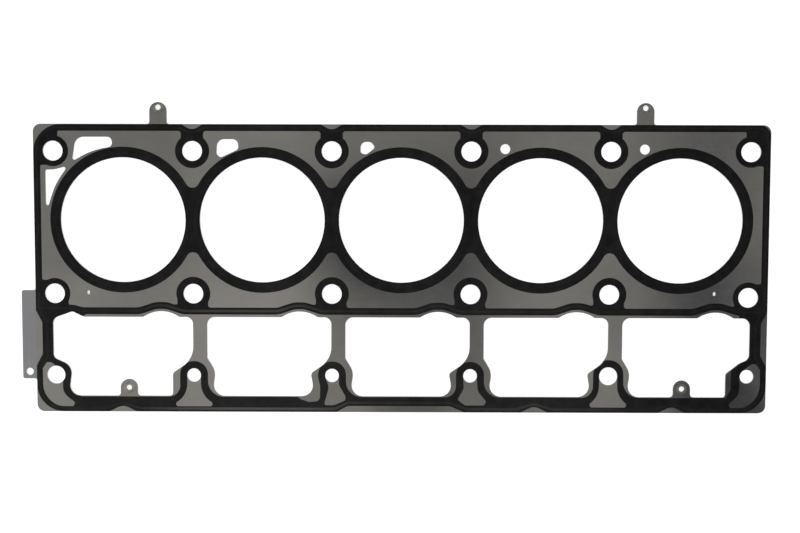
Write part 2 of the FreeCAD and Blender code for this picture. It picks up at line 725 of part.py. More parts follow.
def perimeter_seal(name):
    """Print along the edges of the sheet, round the bolts, above the windows and round the studs."""
    body = new_body(name, UPPER_FACE)
    full = add_sketch(body, "full")
    radius = size["corner_radius"]
    add_loops(full, [[(left_end, bottom_edge, radius), (left_end, top_edge, radius),
                      (right_end, top_edge, radius), (right_end, bottom_edge, radius)]])
    add_pad(body, "film", full, "print_film")
    fields = add_sketch(body, "fields")
    add_loops(fields, [upper_field(), lower_field()])
    add_cut(body, "bare_fields", fields)
    rings = add_sketch(body, "rings")
    circles = []
    for column in range(1, COLUMNS + 1):
        width = "end_bolt_print" if column in (1, COLUMNS) else "bolt_print"
        circles.append((f"top_{column}", column_x(column), "top_bolt_row", f"bolt_dia + 2 * {width}"))
        circles.append((f"mid_{column}", column_x(column), mid_bolt_y(column), f"bolt_dia + 2 * {width}"))
    add_circles(rings, circles)
    add_pad(body, "bolt_rings", rings, "print_film")
    necks = add_sketch(body, "necks")
    add_loops(necks, [top_neck(column) for column in range(2, COLUMNS)])
    add_loops(necks, [mid_neck(column) for column in range(2, COLUMNS)])
    add_loops(necks, end_necks(1) + end_necks(COLUMNS))
    add_pad(body, "neck_fill", necks, "print_film")
    studs = add_sketch(body, "studs")
    add_loops(studs, [stud_band(column) for column in range(2, COLUMNS)])
    add_pad(body, "stud_bands", studs, "print_film")
    bells = add_sketch(body, "bells")
    add_loops(bells, [stud_field(column) for column in range(2, COLUMNS)])
    add_cut(body, "bare_bells", bells)
    patches = add_sketch(body, "patches")
    add_loops(patches, edge_patches())
    add_cut(body, "bare_patches", patches)
    half = size["lip_width"] / 2
    path = edge_lip_path()
    wrapped = [path[-1], *path, path[0]]
    edge_lip = add_sketch(body, "edge_lip")
    add_loops(edge_lip, [beside(wrapped, half)[1:-1], beside(wrapped, -half)[1:-1]])
    add_pad(body, "edge_lip_ridge", edge_lip, "print_film + lip_height")
    mid_lip = add_sketch(body, "mid_lip")
    add_loops(mid_lip, [beside(mid_lip_path(), half) + beside(mid_lip_path(), -half)[::-1]])
    add_pad(body, "mid_lip_ridge", mid_lip, "print_film + lip_height")
    shaped = add_sketch(body, "shaped")
    add_loops(shaped, shaped_openings())
    add_cut(body, "shaped_openings", shaped)
    bores_left_out = [hole for hole in round_holes() if not hole[0].startswith("bore_")]
    punch(body, bores_left_out, refine=True)
    return body


# The clinch eyelets


def eyelet_cylinder(name, x, y, foot, radius, height):
    cylinder = doc.addObject("Part::Cylinder", name)
    bind(cylinder, "Radius", radius)
    bind(cylinder, "Height", height)
    bind(cylinder, "Placement.Base.x", x)
    bind(cylinder, "Placement.Base.y", f"{y} + {BORE_ROW}")
    bind(cylinder, "Placement.Base.z", foot)
    return cylinder


def clinch_eyelet(number, x, y):
    """A hollow rivet: a barrel through the stack and a rim rolled over each face."""
    low = f"{LOWER_FACE} - eyelet_rim"
    stack = "2 * bead_sheet + core_sheet"
    whole = f"{stack} + 2 * eyelet_rim"
    barrel = eyelet_cylinder(f"barrel_{number}", x, y, low, "eyelet_bore / 2 + eyelet_wall", whole)
    lower = eyelet_cylinder(f"lower_rim_{number}", x, y, low, "eyelet_flange / 2", "eyelet_rim")
    upper = eyelet_cylinder(f"upper_rim_{number}", x, y, UPPER_FACE, "eyelet_flange / 2", "eyelet_rim")
    bore = eyelet_cylinder(f"eyelet_hole_{number}", x, y, f"{low} - 1", "eyelet_bore / 2", f"{whole} + 2")
    solid = doc.addObject("Part::MultiFuse", f"eyelet_blank_{number}")
    solid.Shapes = [barrel, lower, upper]
    eyelet = doc.addObject("Part::Cut", f"eyelet_{number}")
    eyelet.Base = solid
    eyelet.Tool = bore
    return eyelet


def turned_over(name, source):
    """The same piece on the underside, as its mirror image in the middle of the core."""
    mirror = doc.addObject("Part::Mirroring", name)
    mirror.Label = name
    mirror.Source = source
    mirror.Normal = Vector(0, 0, 1)
    bind(mirror, "Base.z", MID_PLANE)
    return mirror


upper_bead_layer = bead_layer("upper_bead_layer")
core = core_layer("core_layer")
stoppers = [stopper_ring(cylinder) for cylinder in range(1, CYLINDERS + 1)]
upper_bore_seal = bore_seal("upper_bore_seal")
upper_perimeter_seal = perimeter_seal("upper_perimeter_seal")
eyelets = doc.addObject("Part::Compound", "clinch_eyelets")
eyelets.Label = "clinch_eyelets"
eyelets.Links = [clinch_eyelet(i, x, y) for i, (x, y) in enumerate(eyelet_places(), start=1)]
lower_bead_layer = turned_over("lower_bead_layer", upper_bead_layer)
lower_bore_seal = turned_over("lower_bore_seal", upper_bore_seal)
lower_perimeter_seal = turned_over("lower_perimeter_seal", upper_perimeter_seal)
doc.recompute()

pieces = [upper_bead_layer, core, lower_bead_layer, *stoppers, upper_bore_seal, upper_perimeter_seal,
          lower_bore_seal, lower_perimeter_seal, eyelets]

for item in doc.Objects:
    if "Invalid" in item.State or "Error" in item.State:
        raise RuntimeError(f"{item.Label} failed: {item.State}")
for piece in pieces:
    if piece.Shape.isNull() or not piece.Shape.isValid():
        raise RuntimeError(f"{piece.Label} has no valid shape")

os.makedirs("parts", exist_ok=True)
for piece in pieces:
    piece.Shape.exportStep(f"parts/{piece.Label}.step")
    box = piece.Shape.BoundBox
    print(piece.Label, len(piece.Shape.Solids), "solids", round(piece.Shape.Volume, 1), "mm3",
          f"{box.XMin:.2f} {box.YMin:.2f} {box.ZMin:.2f} to {box.XMax:.2f} {box.YMax:.2f} {box.ZMax:.2f}")
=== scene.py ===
"""A multi-layer steel cylinder head gasket, lying flat in a plain pale studio.

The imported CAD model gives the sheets, the printed films and the stopper rings, and they keep their
shapes and get procedural finishes. Three sub-assemblies are built here as worked-out surfaces: the
crowned bore beads, the rounded sealing lips of the print and the rolled clinch eyelets. Sizes are
in millimetres, and meshes are in metres in the frame of the CAD model.
"""

from __future__ import annotations

import logging
import math
from dataclasses import dataclass, field
from enum import Enum
from typing import Any, Iterable, Sequence

import bpy
import numpy as np
from mathutils import Matrix, Vector

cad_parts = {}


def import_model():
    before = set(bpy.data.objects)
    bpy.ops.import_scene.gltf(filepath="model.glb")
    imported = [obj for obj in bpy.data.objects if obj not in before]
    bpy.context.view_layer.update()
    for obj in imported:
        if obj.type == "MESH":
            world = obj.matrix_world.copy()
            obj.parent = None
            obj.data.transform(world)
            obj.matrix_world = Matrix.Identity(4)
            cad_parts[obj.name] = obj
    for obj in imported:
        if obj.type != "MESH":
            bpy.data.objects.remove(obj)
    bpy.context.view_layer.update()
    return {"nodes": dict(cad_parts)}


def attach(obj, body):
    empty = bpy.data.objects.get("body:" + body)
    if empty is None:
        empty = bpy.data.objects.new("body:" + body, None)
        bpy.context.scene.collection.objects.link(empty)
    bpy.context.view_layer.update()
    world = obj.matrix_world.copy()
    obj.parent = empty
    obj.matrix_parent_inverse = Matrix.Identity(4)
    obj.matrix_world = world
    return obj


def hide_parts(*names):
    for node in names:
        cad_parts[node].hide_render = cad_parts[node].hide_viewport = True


LOG = logging.getLogger("head_gasket")

MM = 0.001
MICRON = 1e-6
BODY = "root"

BORES = range(1, 6)
COLUMNS = range(1, 7)
ARC_STEP = 0.08  # radians between the points of a rounded corner
TINY = 1e-6

Corner = tuple[float, float, float]
Colour = tuple[float, float, float]
Node = bpy.types.Node
Socket = bpy.types.NodeSocket


class Face(Enum):
    """The two outer faces of the gasket, with the sign of their outward direction."""

    UPPER = 1
    LOWER = -1


class Rolling(Enum):
    """The direction in which a sheet was rolled, as the scale of its grain along X and Y."""

    ALONG_BORES = (0.012, 1.0)
    ACROSS_BORES = (1.0, 0.012)


@dataclass(frozen=True)
class Stack:
    """Heights through the stack and the plan sizes that the pieces of this scene share.

    Plan positions are given from the middle bore's centre, and `row` moves them to the frame.
    """

    row: float = 1.8
    pitch: float = 98.0
    top_bolts: float = 48.5
    low_bolts: float = -52.1
    last_bolt_drop: float = 1.9
    studs: float = -110.2
    left_end: float = -258.7
    right_end: float = 258.7
    top_edge: float = 67.3
    bottom_edge: float = -136.4
    foot: float = 0.31
    middle: float = 0.86
    core_half: float = 0.30
    crest: float = 1.41
    film: float = 0.06

    def column(self, number: int) -> float:
        """X of a bolt column, counted from the left."""
        return (number - 3.5) * self.pitch

    def bore(self, number: int) -> float:
        """X of a bore, counted from the left."""
        return (number - 3) * self.pitch

    def print_level(self, face: Face) -> float:
        """Height of the print's outer surface on a face."""
        return self.crest + self.film if face is Face.UPPER else self.foot - self.film


STACK = Stack()


# Meshes


def signed_volume(points: np.ndarray, quads: np.ndarray) -> float:
    """Volume of a closed mesh: a sixth of the sum of its triangles' corner triple products.

    Args:
        points: Corner positions, one row each.
        quads: Four corner numbers a face.

    Returns:
        The volume, negative where the faces point inwards.
    """
    a, b, c, d = (points[quads[:, k]] for k in range(4))
    first = np.einsum("ij,ij->i", a, np.cross(b, c))
    second = np.einsum("ij,ij->i", a, np.cross(c, d))
    return float((first + second).sum() / 6)


@dataclass
class Surface:
    """A closed surface of quads, gathered from one or more grids."""

    points: list[np.ndarray] = field(default_factory=list)
    quads: list[np.ndarray] = field(default_factory=list)

    def add_grid(self, grid: np.ndarray, wrapped: bool) -> None:
        """Adds a tube: a grid of stations by section points, closed round its section.

        A wrapped tube also closes along its stations. An open one ends in a flat cap at each end,
        built from quads that pair each section point with its mirror across the section.

        Args:
            grid: Positions in millimetres, stations by section points by 3.
            wrapped: Whether the last station joins the first.
        """
        stations, around = grid.shape[:2]
        number = np.arange(stations * around).reshape(stations, around)
        following = np.roll(number, -1, axis=0) if wrapped else number[1:]
        here = number if wrapped else number[:-1]
        faces = np.stack(
            [here, np.roll(here, -1, axis=1), np.roll(following, -1, axis=1), following], axis=-1
        ).reshape(-1, 4)
        if not wrapped:
            half = np.arange(around // 2 - 1)
            strip = np.stack([half, half + 1, around - 2 - half, around - 1 - half], axis=-1)
            faces = np.concatenate([faces, number[0][strip[:, ::-1]], number[-1][strip]])
        flat = grid.reshape(-1, 3)
        if signed_volume(flat, faces) < 0:
            faces = faces[:, ::-1]
        start = sum(len(part) for part in self.points)
        self.points.append(flat)
        self.quads.append(faces + start)

    def build(self, name: str, material: bpy.types.Material, slot: str) -> bpy.types.Object:
        """Makes the object at the origin, shaded smooth, and lets it ride on the gasket's body.

        Args:
            name: The piece's name.
            material: Its finish.
            slot: A material slot's name; not used.

        Returns:
            The object.
        """
        points = np.concatenate(self.points) * MM
        quads = np.concatenate(self.quads)
        mesh = bpy.data.meshes.new(name)
        mesh.from_pydata(points.tolist(), [], quads.tolist())
        mesh.polygons.foreach_set("use_smooth", np.ones(len(quads), dtype=bool))
        mesh.validate()
        mesh.update()
        mesh.materials.append(material)
        piece = linked(name, mesh)
        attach(piece, BODY)
        LOG.info("%s: %d quads", name, len(quads))
        return piece


def linked(name: str, data: bpy.types.ID) -> bpy.types.Object:
    """Makes an object and links it to the scene.

    Args:
        name: The object's name.
        data: Its mesh, lamp or camera.

    Returns:
        The object.
    """
    made = bpy.data.objects.new(name, data)
    bpy.context.scene.collection.objects.link(made)
    return made


def rounded_path(corners: Sequence[Corner], closed: bool, step: float) -> np.ndarray:
    """Evenly spaced points along a line whose corners are rounded.

    Each corner's arc touches its two sides at radius / tan(half the corner's angle) from the
    corner, cut down where two arcs would meet on a side. An arc's start is turned round its centre
    in equal steps. The arcs are joined by straight runs, and the whole line is then sampled evenly
    by its length.

    Args:
        corners: (x, y, radius) of each corner.
        closed: Whether the last corner joins the first.
        step: Distance between the points.

    Returns:
        The points, one row each. A closed line's first point isn't repeated at its end.
    """
    at = np.array([corner[:2] for corner in corners], dtype=float)
    radius = np.array([corner[2] for corner in corners], dtype=float)
    back = np.roll(at, 1, axis=0) - at
    ahead = np.roll(at, -1, axis=0) - at
    side = np.linalg.norm(ahead, axis=1)
    back /= np.linalg.norm(back, axis=1)[:, None]
    ahead /= side[:, None]
    half = np.arccos(np.clip((back * ahead).sum(axis=1), -1, 1)) / 2
    if not closed:
        radius[[0, -1]] = 0
    reach = radius / np.tan(np.maximum(half, TINY))
    wanted = reach + np.roll(reach, -1)
    fits = np.minimum(1, side / np.maximum(wanted, TINY))
    reach = reach * np.minimum(fits, np.roll(fits, 1))
    radius = reach * np.tan(half)

    line: list[np.ndarray] = []
    for index in range(len(at)):
        if reach[index] < TINY:
            line.append(at[index][None, :])
            continue
        inward = back[index] + ahead[index]
        inward /= np.linalg.norm(inward)
        centre = at[index] + inward * (radius[index] / math.sin(half[index]))
        start = at[index] + back[index] * reach[index] - centre
        end = at[index] + ahead[index] * reach[index] - centre
        turn = math.atan2(start[0] * end[1] - start[1] * end[0], float(start @ end))
        angles = np.linspace(0, turn, max(4, int(abs(turn) / ARC_STEP)))[:, None]
        across = np.array([-start[1], start[0]])
        line.append(centre + start * np.cos(angles) + across * np.sin(angles))
    points = np.concatenate(line)
    if closed:
        points = np.concatenate([points, points[:1]])
    length = np.concatenate([[0], np.cumsum(np.linalg.norm(np.diff(points, axis=0), axis=1))])
    count = max(8, int(round(length[-1] / step)))
    places = np.linspace(0, length[-1], count + 1)
    even = np.stack([np.interp(places, length, points[:, k]) for k in range(2)], axis=-1)
    return even[:-1] if closed else even


def circle_path(x: float, y: float, radius: float, step: float) -> np.ndarray:
    """Points round a circle: its centre plus radius times (cos, sin) of evenly spaced angles.

    Args:
        x: X of the centre.
        y: Y of the centre.
        radius: The circle's radius.
        step: Distance between the points.

    Returns:
        The points, one row each.
    """
    count = max(24, int(2 * math.pi * radius / step))
    angles = np.linspace(0, 2 * math.pi, count, endpoint=False)
    return np.stack([x + radius * np.cos(angles), y + radius * np.sin(angles)], axis=-1)


@dataclass(frozen=True)
class Crown:
    """The rounded section of a raised line: height * (1 - |s / half width| ** fullness) at s."""

    half_width: float
    height: float
    fullness: float
    sunk: float = 0.03
    steps: int = 6

    def section(self) -> np.ndarray:
        """Closed section, from one foot over the crown to the other foot and back underneath.

        The offsets are sin-spaced, which packs the points where the crown falls off. The
        underside mirrors them at a depth of `sunk` below the surface that carries the line.

        Returns:
            (offset, height) of each section point.
        """
        share = np.sin(np.linspace(-math.pi / 2, math.pi / 2, 2 * self.steps + 1))
        rise = self.height * (1 - np.abs(share) ** self.fullness)
        over = np.stack([share * self.half_width, rise], axis=-1)
        under = np.stack([share[::-1] * self.half_width, np.full(len(share), -self.sunk)], axis=-1)
        return np.concatenate([over, under])

    def along(self, path: np.ndarray, closed: bool, face: Face) -> np.ndarray:
        """Carries the section along a path on a face of the gasket.

        A station's section lies across the path: position = path + offset * left normal, and its
        height stands outwards from the print.

        Args:
            path: Points from the middle bore's centre, in millimetres.
            closed: Whether the path closes on itself.
            face: The face of the gasket that carries the line.

        Returns:
            The grid of stations by section points by 3.
        """
        if closed:
            tangent = np.roll(path, -1, axis=0) - np.roll(path, 1, axis=0)
        else:
            tangent = np.gradient(path, axis=0)
        tangent /= np.linalg.norm(tangent, axis=1)[:, None]
        normal = np.stack([-tangent[:, 1], tangent[:, 0]], axis=-1)
        section = self.section()
        plan = path[:, None, :] + normal[:, None, :] * section[None, :, :1]
        rise = STACK.print_level(face) + face.value * section[:, 1]
        grid = np.empty((len(path), len(section), 3))
        grid[..., :2] = plan
        grid[..., 1] += STACK.row
        grid[..., 2] = rise[None, :]
        return grid


# Shader nodes


@dataclass
class Graph:
    """Shorthand for adding nodes to a node tree."""

    tree: bpy.types.NodeTree

    def node(self, kind: str, inputs: dict[Any, Any] | None = None, **settings: Any) -> Node:
        """Adds a node.

        Args:
            kind: The node's type, without its ShaderNode prefix.
            inputs: Values or output sockets for its inputs, by name or number.
            **settings: The node's own properties.

        Returns:
            The node.
        """
        made = self.tree.nodes.new(f"ShaderNode{kind}")
        for name, value in settings.items():
            setattr(made, name, value)
        for key, value in (inputs or {}).items():
            self.feed(made.inputs[key], value)
        return made

    def feed(self, target: Socket, value: Any) -> None:
        """Links a socket to an input, or sets a plain value there.

        Args:
            target: The input.
            value: The socket or the value.
        """
        if isinstance(value, Socket):
            self.tree.links.new(value, target)
        else:
            target.default_value = value

    def math(self, operation: str, *values: Any, clamp: bool = False) -> Socket:
        """Adds a Math node and returns its result."""
        inputs = dict(enumerate(values))
        return self.node("Math", inputs, operation=operation, use_clamp=clamp).outputs[0]

    def vector(self, operation: str, *values: Any) -> Socket:
        """Adds a Vector Math node and returns its vector."""
        inputs = dict(enumerate(values))
        return self.node("VectorMath", inputs, operation=operation).outputs[0]

    def scaled(self, vector: Any, gain: Any) -> Socket:
        """Scales a colour or a vector by a value."""
        return self.node("VectorMath", {0: vector, "Scale": gain}, operation="SCALE").outputs[0]

    def spread(
        self, value: Any, low: Any, high: float, start: float = 0, stop: float = 1
    ) -> Socket:
        """Maps a value smoothly from low..high to start..stop.

        Args:
            value: The socket to map.
            low: The value that gives start.
            high: The value that gives stop.
            start: Result at low.
            stop: Result at high.

        Returns:
            The mapped value.
        """
        inputs = {
            "Value": value, "From Min": low, "From Max": high, "To Min": start, "To Max": stop
        }
        return self.node("MapRange", inputs, interpolation_type="SMOOTHSTEP").outputs["Result"]

    def noise(
        self, vector: Any, scale: Any, detail: float = 2.0, roughness: float = 0.5
    ) -> Socket:
        """Adds a Noise Texture and returns its value."""
        inputs = {"Vector": vector, "Scale": scale, "Detail": detail, "Roughness": roughness}
        return self.node("TexNoise", inputs).outputs[0]

    def cells(self, vector: Any, scale: float, feature: str) -> Socket:
        """Adds a Voronoi Texture and returns its distance."""
        inputs = {"Vector": vector, "Scale": scale}
        return self.node("TexVoronoi", inputs, feature=feature).outputs["Distance"]

    def mixed(self, share: Any, first: Colour, second: Colour | Socket) -> Socket:
        """Adds a colour Mix node and returns its result."""
        inputs = {0: share, 6: opaque(first), 7: opaque(second)}
        return self.node("Mix", inputs, data_type="RGBA").outputs[2]


def opaque(colour: Any) -> Any:
    """A plain colour with an alpha of 1, or a socket as it is."""
    return colour if isinstance(colour, Socket) else (*colour, 1)


@dataclass
class Group(Graph):
    """A node group being built, with the sockets it is given and its Group Output node."""

    given: Any
    leave: Node

    @classmethod
    def new(cls, name: str, inputs: dict[str, float | None], outputs: Iterable[str]) -> Group:
        """Starts a shader node group with named sockets.

        Args:
            name: The group's name.
            inputs: The default of each value input, or None for a vector input.
            outputs: Names of its value outputs.

        Returns:
            The group.
        """
        tree = bpy.data.node_groups.new(name, "ShaderNodeTree")
        for title, default in inputs.items():
            kind = "NodeSocketVector" if default is None else "NodeSocketFloat"
            socket = tree.interface.new_socket(title, in_out="INPUT", socket_type=kind)
            if default is not None:
                socket.default_value = default
        for title in outputs:
            tree.interface.new_socket(title, in_out="OUTPUT", socket_type="NodeSocketFloat")
        given = tree.nodes.new("NodeGroupInput").outputs
        return cls(tree, given, tree.nodes.new("NodeGroupOutput"))

    def give(self, **results: Socket) -> bpy.types.NodeTree:
        """Links results to the group's outputs.

        Args:
            **results: The socket for each output, by name.

        Returns:
            The group's tree.
        """
        for title, value in results.items():
            self.tree.links.new(value, self.leave.inputs[title])
        return self.tree


class Effects:
    """The effects that more than one finish uses, each a node group built once."""

    def __init__(self) -> None:
        """Builds the groups."""
        self.grain = self._rolling_grain()
        self.mottle = self._mottle()
        self.marks = self._handling_marks()
        self.patch = self._soft_patch()
        self.edge = self._cut_edge()

    @staticmethod
    def _rolling_grain() -> bpy.types.NodeTree:
        """Fine parallel streaks left by the rolls: noise stretched along one direction.

        Returns:
            The group.
        """
        defaults = {"Vector": None, "Along": 0.012, "Across": 1.0, "Pitch": 900.0}
        group = Group.new("rolling_grain", defaults, ["Streaks", "Fine"])
        given = group.given
        squeeze = group.node("CombineXYZ", {0: given["Along"], 1: given["Across"], 2: 0.2})
        run = group.vector("MULTIPLY", given["Vector"], squeeze.outputs[0])
        wide = group.noise(run, given["Pitch"], 3.0, 0.6)
        fine = group.noise(run, group.math("MULTIPLY", given["Pitch"], 3.4), 2.0, 0.7)
        return group.give(
            Streaks=group.spread(wide, 0.3, 0.7),
            Fine=group.spread(fine, 0.25, 0.75),
        )

    @staticmethod
    def _mottle() -> bpy.types.NodeTree:
        """Soft cloudy tone of a coat: wide clouds, small clouds and pin-sized specks.

        Returns:
            The group.
        """
        outputs = ["Clouds", "Patches", "Specks"]
        group = Group.new("coat_mottle", {"Vector": None, "Scale": 1.0}, outputs)
        vector = group.scaled(group.given["Vector"], group.given["Scale"])
        clouds = group.noise(vector, 16.0, 3.0, 0.55)
        patches = group.noise(vector, 110.0, 4.0, 0.6)
        near = group.spread(group.cells(vector, 420.0, "F1"), 0.10, 0.22, 1, 0)
        rare = group.spread(group.noise(vector, 260.0, 1.0, 0.4), 0.60, 0.68)
        return group.give(
            Clouds=group.spread(clouds, 0.3, 0.7),
            Patches=group.spread(patches, 0.28, 0.72),
            Specks=group.math("MULTIPLY", near, rare),
        )

    @staticmethod
    def _handling_marks() -> bpy.types.NodeTree:
        """Hairline scratches, which are edges of long cells kept in places, and faint smudges.

        Returns:
            The group.
        """
        defaults = {"Vector": None, "Angle": 0.5}
        group = Group.new("handling_marks", defaults, ["Scratches", "Smudges"])
        turn = {title: group.given[title] for title in defaults}
        turned = group.node("VectorRotate", turn, rotation_type="Z_AXIS").outputs[0]
        squeezed = group.vector("MULTIPLY", turned, (14.0, 300.0, 40.0))
        edges = group.cells(squeezed, 1.0, "DISTANCE_TO_EDGE")
        line = group.spread(edges, 0.0, 0.018, 1, 0)
        kept = group.spread(group.noise(turned, 34.0), 0.56, 0.66)
        return group.give(
            Scratches=group.math("MULTIPLY", line, kept),
            Smudges=group.spread(group.noise(turned, 22.0, 5.0, 0.65), 0.52, 0.78),
        )

    @staticmethod
    def _soft_patch() -> bpy.types.NodeTree:
        """Wide soft painted light and shade: a gain over a flat core, falling to 0 at its reach.

        Returns:
            The group.
        """
        defaults = {"Vector": None, "Centre": None, "Reach": 0.1, "Core": 0.0, "Gain": 0.0}
        group = Group.new("soft_patch", defaults, ["Tone"])
        given = group.given
        ends = {0: given["Vector"], 1: given["Centre"]}
        away = group.node("VectorMath", ends, operation="DISTANCE").outputs["Value"]
        share = group.math("DIVIDE", away, given["Reach"])
        fall = group.spread(share, given["Core"], 1.0, 1, 0)
        return group.give(Tone=group.math("MULTIPLY", fall, given["Gain"]))

    @staticmethod
    def _cut_edge() -> bpy.types.NodeTree:
        """Mask of the punched edges, where the surface stands upright, their shear lines and seams.

        Seams are lines of painted shade between two sheets, where the height is near that of
        their joint.

        Returns:
            The group.
        """
        defaults = {"Vector": None, "Normal": None}
        group = Group.new("cut_edge", defaults, ["Edge", "Shear", "Seam"])
        place = group.given["Vector"]
        upright = group.node("SeparateXYZ", {0: group.given["Normal"]}).outputs["Z"]
        shear = group.noise(group.vector("MULTIPLY", place, (1.0, 1.0, 0.05)), 3200.0, 2.0, 0.6)
        height = group.node("SeparateXYZ", {0: place}).outputs["Z"]
        away = group.math("ABSOLUTE", group.math("SUBTRACT", height, STACK.middle * MM))
        joint = group.math("ABSOLUTE", group.math("SUBTRACT", away, STACK.core_half * MM))
        return group.give(
            Edge=group.spread(group.math("ABSOLUTE", upright), 0.25, 0.6, 1, 0),
            Shear=group.spread(shear, 0.3, 0.7),
            Seam=group.spread(joint, 10 * MICRON, 50 * MICRON, 1, 0),
        )


@dataclass(frozen=True)
class Tone:
    """A wide soft patch of painted light and shade on a colour: where it is, how far it reaches
    and how strong it is.

    The core is the share of the reach over which it keeps its full strength.
    """

    x: float
    y: float
    reach: float
    gain: float
    core: float = 0.0


@dataclass
class Finish:
    """A material being built: its graph, its Principled shader and what every finish reads."""

    name: str
    effects: Effects
    material: bpy.types.Material = field(init=False)
    graph: Graph = field(init=False)
    shader: Node = field(init=False)
    place: Socket = field(init=False)
    normal: Socket = field(init=False)

    def __post_init__(self) -> None:
        """Makes the material and its first nodes."""
        self.material = bpy.data.materials.new(self.name)
        self.material.use_nodes = True
        self.graph = Graph(self.material.node_tree)
        self.shader = self.material.node_tree.nodes["Principled BSDF"]
        self.place = self.graph.node("TexCoord").outputs["Object"]
        self.normal = self.graph.node("NewGeometry").outputs["Normal"]

    def effect(self, tree: bpy.types.NodeTree, inputs: dict[str, Any]) -> Any:
        """Places a node group with its own values.

        Args:
            tree: The group.
            inputs: Values or sockets for its inputs.

        Returns:
            The outputs of the group's node.
        """
        made = self.graph.node("Group", node_tree=tree)
        for key, value in {"Vector": self.place, **inputs}.items():
            self.graph.feed(made.inputs[key], value)
        return made.outputs

    def tone(self, tone: Tone) -> Socket:
        """Places a soft patch of painted light and shade.

        Args:
            tone: The change.

        Returns:
            The patch's value.
        """
        centre = (tone.x * MM, tone.y * MM, STACK.middle * MM)
        sizes = {"Reach": tone.reach * MM, "Core": tone.core, "Gain": tone.gain}
        return self.effect(self.effects.patch, {"Centre": centre, **sizes})["Tone"]

    def toned(self, gain: Any, tones: Iterable[Tone]) -> Any:
        """Adds soft patches of painted light and shade to a value.

        Args:
            gain: The value or socket that they are added to.
            tones: The changes of tone.

        Returns:
            The sum.
        """
        for tone in tones:
            gain = self.graph.math("ADD", gain, self.tone(tone))
        return gain

    def feed(self, socket: str, value: Any) -> None:
        """Links a value to a socket of the shader, or sets it there."""
        self.graph.feed(self.shader.inputs[socket], value)

    def relief(self, *layers: tuple[Any, float]) -> None:
        """Adds bumps one on another.

        Args:
            *layers: The height socket and the depth in metres of each bump.
        """
        normal: Any = None
        for height, depth in layers:
            inputs = {"Height": height, "Distance": depth, "Strength": 1.0}
            if normal is not None:
                inputs["Normal"] = normal
            normal = self.graph.node("Bump", inputs).outputs[0]
        self.feed("Normal", normal)


@dataclass(frozen=True)
class RolledSteel:
    """Rolled sheet under a thin matt coat, with bright punched edges."""

    name: str
    coat: Colour
    coat_other: Colour
    cut: Colour
    metallic: float
    roughness: float
    # tint of the painted reflection where the painted shade is darkest
    cool: Colour = (1.0, 1.0, 1.0)
    cooling: tuple[float, float] = (0.26, 0.52)
    rolling: Rolling = Rolling.ALONG_BORES
    streaks: float = 0.025
    clouds: float = 0.05
    handling: float = 0.08
    scratch_angle: float = 0.62
    shear: float = 0.35
    # darkening by painted shade along the seams between the sheets
    seam: float = 0.6
    shade: float = 1.0
    tones: tuple[Tone, ...] = ()

    def build(self, effects: Effects) -> bpy.types.Material:
        """Builds the material.

        The colour is a mix of two close tones by the coat's clouds, times the sum of the sheet's
        shade, its wide patches of painted reflection and shade, the streaks and the small patches.
        Where the painted shade falls through the span of `cooling`, the colour turns to the cooler
        tint of a painted reflection. Scratches lighten it and specks darken it. Upright surfaces
        turn to the cut metal, with painted shade along the seams between the sheets.

        Args:
            effects: The shared node groups.

        Returns:
            The material.
        """
        finish = Finish(self.name, effects)
        graph = finish.graph
        along, across = self.rolling.value
        grain = finish.effect(effects.grain, {"Along": along, "Across": across})
        mottle = finish.effect(effects.mottle, {})
        marks = finish.effect(effects.marks, {"Angle": self.scratch_angle})
        edge = finish.effect(effects.edge, {"Normal": finish.normal})

        # the sheet's shade with its wide patches: painted reflection and shade on the coat
        wide = finish.toned(self.shade - (self.streaks + self.clouds) / 2, self.tones)
        gain = graph.math("MULTIPLY_ADD", grain["Streaks"], self.streaks, wide)
        gain = graph.math("MULTIPLY_ADD", mottle["Patches"], self.clouds, gain)
        gain = graph.math("MULTIPLY_ADD", marks["Scratches"], self.handling, gain)
        gain = graph.math("MULTIPLY_ADD", mottle["Specks"], -self.handling, gain)
        coat = graph.mixed(mottle["Clouds"], self.coat, self.coat_other)
        # the cooler tint of a painted reflection, where the painted shade is darkest
        if self.tones:
            tint = graph.mixed(graph.spread(wide, *self.cooling), self.cool, (1, 1, 1))
            coat = graph.vector("MULTIPLY", coat, tint)
        bright = graph.math("MULTIPLY_ADD", edge["Shear"], self.shear, 0.8)
        # painted shade along the seams between the sheets
        bright = graph.math("MULTIPLY_ADD", edge["Seam"], -self.seam, bright)
        bare = graph.scaled(self.cut, bright)
        finish.feed("Base Color", graph.mixed(edge["Edge"], graph.scaled(coat, gain), bare))
        finish.feed("Metallic", self.metallic)
        rough = graph.math("MULTIPLY_ADD", grain["Fine"], 0.10, self.roughness - 0.05)
        rough = graph.math("MULTIPLY_ADD", marks["Smudges"], 0.07, rough)
        rough = graph.math("MULTIPLY_ADD", edge["Edge"], -0.08, rough, clamp=True)
        finish.feed("Roughness", rough)
        finish.relief(
            (grain["Streaks"], 2.5 * MICRON),
            (mottle["Patches"], 4 * MICRON),
            (marks["Scratches"], -4 * MICRON),
        )
        return finish.material


